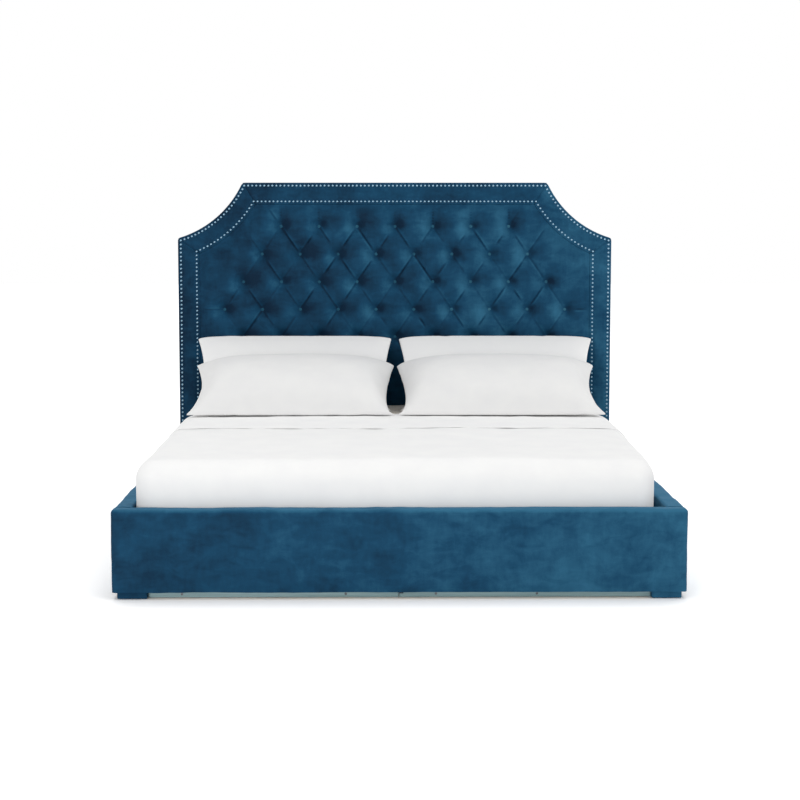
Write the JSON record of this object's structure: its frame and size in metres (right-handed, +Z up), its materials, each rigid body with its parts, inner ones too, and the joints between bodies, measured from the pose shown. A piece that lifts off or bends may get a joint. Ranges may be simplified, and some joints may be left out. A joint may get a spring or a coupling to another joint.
{
  "type": "upholstered headboard bed",
  "caption": "Velvet platform bed with a scooped-corner, button-tufted, nail-trimmed headboard, padded rails, slatted base, mattress, white duvet and pillows.",
  "frame": {"origin": "on the floor, under the middle of the bed's overall box", "axes": "+Y towards the headboard, +X to the right seen from the foot, +Z up"},
  "size_m": [1.96, 2.193, 1.457],
  "materials": {
    "velvet": "crushed velvet over foam",
    "nail_metal": "pewter-grey polished dome",
    "pine": "planed softwood",
    "plywood": "sanded sheet",
    "back_cloth": "non-woven dust cloth",
    "webbing": "woven strap",
    "felt": "felt",
    "plastic": "moulded",
    "black_steel": "powder coat",
    "zinc": "zinc plate",
    "aluminium": "satin strip",
    "ticking": "cream knit ticking over foam",
    "linen": "plain white cotton"
  },
  "bodies": {
    "bed_frame": {"beam_hangers": "black_steel", "border_scoop_left": "velvet", "border_scoop_right": "velvet", "border_side_left": "velvet", "border_side_right": "velvet", "border_top": "velvet", "centre_beam": "pine", "centre_leg_1": "pine", "centre_leg_2": "pine", "centre_leg_3": "pine", "corner_bolts": "zinc", "corner_brackets": "black_steel", "foot_front_left": "velvet", "foot_front_right": "velvet", "foot_pads": "felt", "foot_rear_left": "velvet", "foot_rear_right": "velvet", "foot_screws": "zinc", "footboard_core": "pine", "footboard_cover": "velvet", "hanger_screws": "zinc", "headboard_back_cloth": "back_cloth", "headboard_bottom_rail": "pine", "headboard_lower_cover": "velvet", "headboard_middle_rail": "pine", "headboard_panel": "plywood", "headboard_post_left": "pine", "headboard_post_right": "pine", "headboard_scoop_block_left": "pine", "headboard_scoop_block_right": "pine", "headboard_top_rail": "pine", "ledger_left": "pine", "ledger_right": "pine", "ledger_screws": "zinc", "leg_dowels": "pine", "leg_glides": "plastic", "nailheads_inner": "nail_metal", "nailheads_outer": "nail_metal", "plinth_blocks": "pine", "plinth_joiner": "plastic", "plinth_left": "aluminium", "plinth_right": "aluminium", "plinth_screws": "zinc", "side_rail_core_left": "pine", "side_rail_core_right": "pine", "side_rail_cover_left": "velvet", "side_rail_cover_right": "velvet", "slat_straps": "webbing", "slats": "pine", "tuft_buttons": "velvet", "tufted_panel": "velvet"},
    "mattress_set": {"mattress": "ticking", "duvet": "linen", "sheet_cuff": "linen"},
    "back_pillow_left": {"pillow_back_left": "linen"},
    "front_pillow_left": {"pillow_front_left": "linen"},
    "back_pillow_right": {"pillow_back_right": "linen"},
    "front_pillow_right": {"pillow_front_right": "linen"}
  },
  "joints": [
    {"name": "mattress_lift", "type": "slide", "parent": "bed_frame", "child": "mattress_set", "axis": [0, 0, 1], "range_m": [0, 0.4]},
    {"name": "back_pillow_left_lift", "type": "slide", "parent": "mattress_set", "child": "back_pillow_left", "axis": [0, 0, 1], "range_m": [0, 0.5]},
    {"name": "front_pillow_left_lift", "type": "slide", "parent": "back_pillow_left", "child": "front_pillow_left", "axis": [0, 0, 1], "range_m": [0, 0.4]},
    {"name": "back_pillow_right_lift", "type": "slide", "parent": "mattress_set", "child": "back_pillow_right", "axis": [0, 0, 1], "range_m": [0, 0.5]},
    {"name": "front_pillow_right_lift", "type": "slide", "parent": "back_pillow_right", "child": "front_pillow_right", "axis": [0, 0, 1], "range_m": [0, 0.4]}
  ]
}
